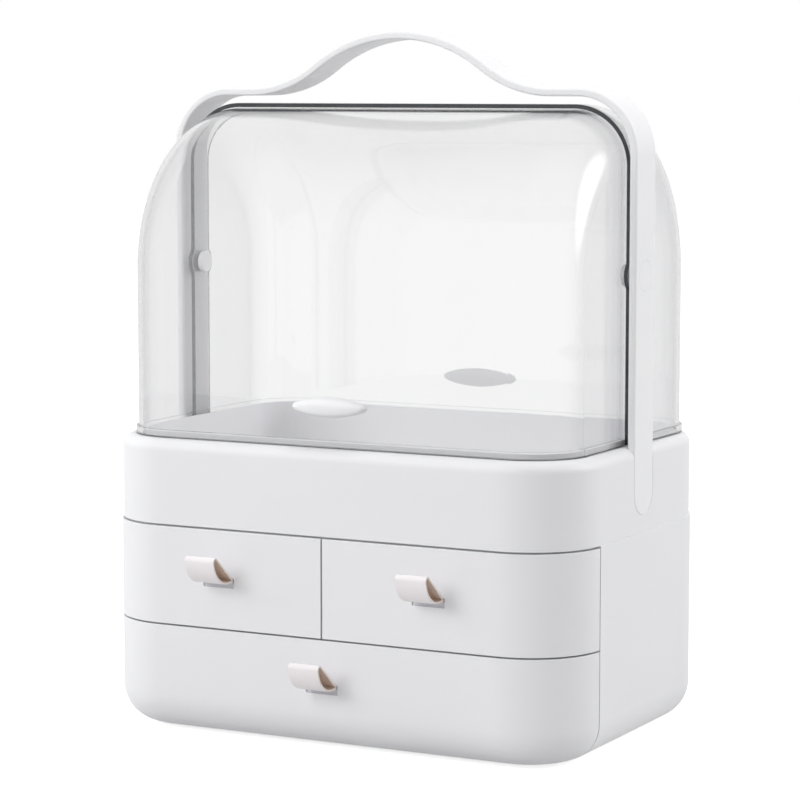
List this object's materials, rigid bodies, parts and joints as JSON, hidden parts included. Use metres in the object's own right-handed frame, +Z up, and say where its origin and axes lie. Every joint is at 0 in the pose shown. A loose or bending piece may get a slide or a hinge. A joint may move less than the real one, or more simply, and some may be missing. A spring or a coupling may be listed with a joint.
{
  "type": "makeup organizer",
  "caption": "White makeup organizer: two small drawers over a wide one, an open tray under two clear swing-up covers, and a carrying arch with a raised grip.",
  "frame": {"origin": "middle of the base, on the surface that the organizer stands on", "axes": "+Z up, -Y the front with the drawers, +X to the right as seen from the front"},
  "size_m": [0.28, 0.2117, 0.3733],
  "materials": {
    "white_abs": "satin moulded ABS",
    "arch_abs": "satin moulded ABS",
    "strap_pu_leather": "smooth PU leather",
    "clear_polystyrene": "polished clear polystyrene",
    "screw_steel": "plated screw steel"
  },
  "bodies": {
    "cabinet": {"drawer_housing": "white_abs", "middle_shelf": "white_abs", "centre_divider": "white_abs", "top_tray": "white_abs", "tray_screws": "screw_steel", "handle_arch": "arch_abs", "arch_screws": "screw_steel", "pivot_pin_left": "arch_abs", "pivot_pin_right": "arch_abs", "pivot_washers": "arch_abs", "pivot_discs": "arch_abs"},
    "front_cover": {"front_cover": "clear_polystyrene", "front_tab": "arch_abs"},
    "rear_cover": {"rear_cover": "clear_polystyrene", "rear_tab": "arch_abs"},
    "left_drawer": {"left_drawer_box": "white_abs", "left_drawer_front": "white_abs", "left_pull": "strap_pu_leather", "left_pull_clip": "white_abs", "left_clip_screw": "screw_steel"},
    "right_drawer": {"right_drawer_box": "white_abs", "right_drawer_front": "white_abs", "right_pull": "strap_pu_leather", "right_pull_clip": "white_abs", "right_clip_screw": "screw_steel"},
    "lower_drawer": {"lower_drawer_box": "white_abs", "lower_drawer_front": "white_abs", "lower_pull": "strap_pu_leather", "lower_pull_clip": "white_abs", "lower_clip_screw": "screw_steel"}
  },
  "joints": [
    {"name": "front_cover_hinge", "type": "hinge", "parent": "cabinet", "child": "front_cover", "pos_m": [0, 0, 0.2466], "axis": [-1, 0, 0], "range_deg": [0, 90]},
    {"name": "rear_cover_hinge", "type": "hinge", "parent": "cabinet", "child": "rear_cover", "pos_m": [0, 0, 0.2466], "axis": [-1, 0, 0], "range_deg": [-90, 0]},
    {"name": "left_drawer_slide", "type": "slide", "parent": "cabinet", "child": "left_drawer", "axis": [0, -1, 0], "range_m": [0, 0.12]},
    {"name": "right_drawer_slide", "type": "slide", "parent": "cabinet", "child": "right_drawer", "axis": [0, -1, 0], "range_m": [0, 0.12]},
    {"name": "lower_drawer_slide", "type": "slide", "parent": "cabinet", "child": "lower_drawer", "axis": [0, -1, 0], "range_m": [0, 0.12]}
  ]
}
